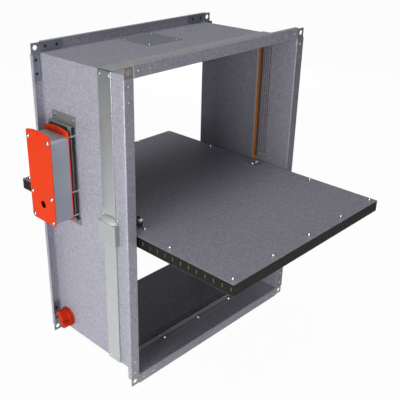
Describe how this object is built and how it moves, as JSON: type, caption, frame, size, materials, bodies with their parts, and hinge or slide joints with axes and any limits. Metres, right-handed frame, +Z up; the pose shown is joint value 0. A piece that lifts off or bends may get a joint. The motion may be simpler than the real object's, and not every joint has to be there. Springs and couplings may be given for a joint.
{
  "type": "rectangular fire damper",
  "caption": "Rectangular fire damper: flanged duct casing, one centre-pivoted blade, fuse-released closing drive on the side wall and a turning inspection port cap.",
  "frame": {"origin": "on the duct axis, in the plane of the bolt faces of the front corner plates", "axes": "+X across the duct, away from the mechanism; +Y along the duct, from the front flange to the rear one; +Z up"},
  "size_m": [0.716, 0.79, 0.86],
  "materials": {
    "galvanised_sheet": "spangled zinc coat, satin",
    "smooth_galvanised": "smooth zinc coat, satin",
    "blade_sheet": "dark zinc coat, satin",
    "corner_steel": "zinc plated",
    "zinc_fasteners": "bright zinc",
    "machined_steel": "turned and zinc plated",
    "black_steel": "black oxide",
    "bronze": "plain bearing bronze",
    "fuse_brass": "bare",
    "mineral_board": "calcium silicate board",
    "black_edge_band": "black coat, satin",
    "intumescent": "brown strip, matt",
    "black_rubber": "matt",
    "orange_paint": "powder coat",
    "orange_plastic": "moulded"
  },
  "bodies": {
    "casing": {"casing_bottom": "galvanised_sheet", "casing_left": "galvanised_sheet", "casing_right": "galvanised_sheet", "casing_screws": "zinc_fasteners", "casing_top": "galvanised_sheet", "closing_spring": "machined_steel", "cover_rivets": "zinc_fasteners", "cover_strip_bottom": "smooth_galvanised", "cover_strip_top": "smooth_galvanised", "cover_strips_left": "smooth_galvanised", "cover_strips_right": "smooth_galvanised", "drive_shaft_bush": "bronze", "flange_rivets": "zinc_fasteners", "front_corner_plates": "corner_steel", "front_cover_plate": "orange_paint", "fuse_holder": "bronze", "fuse_link_fixed_half": "fuse_brass", "inspection_port_collar": "orange_plastic", "insulating_pad": "black_rubber", "intumescent_seals": "intumescent", "mechanism_housing": "smooth_galvanised", "mechanism_screws": "zinc_fasteners", "mounting_bracket": "smooth_galvanised", "pivot_bush_left": "bronze", "pivot_bush_right": "bronze", "pivot_cover_left": "smooth_galvanised", "pivot_cover_right": "smooth_galvanised", "rear_corner_plates": "corner_steel", "rear_cover_plate": "orange_paint", "slot_linings": "intumescent", "smoke_seals": "black_rubber", "stop_bottom": "galvanised_sheet", "stop_lower_left": "galvanised_sheet", "stop_lower_right": "galvanised_sheet", "stop_top": "galvanised_sheet", "stop_upper_left": "galvanised_sheet", "stop_upper_right": "galvanised_sheet", "top_patch_plate": "smooth_galvanised"},
    "blade": {"blade_top_skin": "blade_sheet", "blade_bottom_skin": "blade_sheet", "blade_core": "mineral_board", "blade_edge_front": "black_edge_band", "blade_edge_rear": "black_edge_band", "blade_edge_left": "black_edge_band", "blade_edge_right": "black_edge_band", "blade_edge_intumescent": "intumescent", "blade_screws": "zinc_fasteners", "stub_shaft_left": "machined_steel", "stub_shaft_right": "machined_steel", "shaft_plate_left": "machined_steel", "shaft_plate_right": "machined_steel", "shaft_plate_screws": "zinc_fasteners", "drive_bracket": "machined_steel"},
    "drive": {"drive_shaft": "machined_steel", "crank_arm": "black_steel"},
    "link": {"link_rod": "black_steel"},
    "latch": {"latch_lever": "machined_steel"},
    "plunger": {"release_plunger": "machined_steel", "fuse_link_moving_half": "fuse_brass"},
    "cap": {"port_cap": "orange_plastic"}
  },
  "joints": [
    {"name": "blade_swing", "type": "hinge", "parent": "casing", "child": "blade", "pos_m": [0, 0.095, 0], "axis": [-1, 0, 0], "range_deg": [0, 90]},
    {"name": "drive_turn", "type": "hinge", "parent": "casing", "child": "drive", "pos_m": [-0.34, 0.264, 0.038], "axis": [-1, 0, 0], "range_deg": [0, 90]},
    {"name": "link_swing", "type": "hinge", "parent": "drive", "child": "link", "pos_m": [-0.2745, 0.2, 0.072], "axis": [-1, 0, 0], "range_deg": [-90, 0]},
    {"name": "plunger_slide", "type": "slide", "parent": "casing", "child": "plunger", "axis": [-1, 0, 0], "range_m": [0, 0.005]},
    {"name": "latch_turn", "type": "hinge", "parent": "casing", "child": "latch", "pos_m": [-0.34, 0.264, 0.1054], "axis": [0, -1, 0], "range_deg": [0, 6.7]},
    {"name": "cap_turn", "type": "hinge", "parent": "casing", "child": "cap", "pos_m": [-0.31, 0.304, -0.365], "axis": [-1, 0, 0], "range_deg": [0, 90]}
  ],
  "couplings": [
    {"joint": "drive_turn", "follows": "blade_swing", "ratio": 1},
    {"joint": "link_swing", "follows": "blade_swing", "ratio": -1},
    {"joint": "latch_turn", "follows": "plunger_slide", "rad_per_m": 23.3}
  ]
}
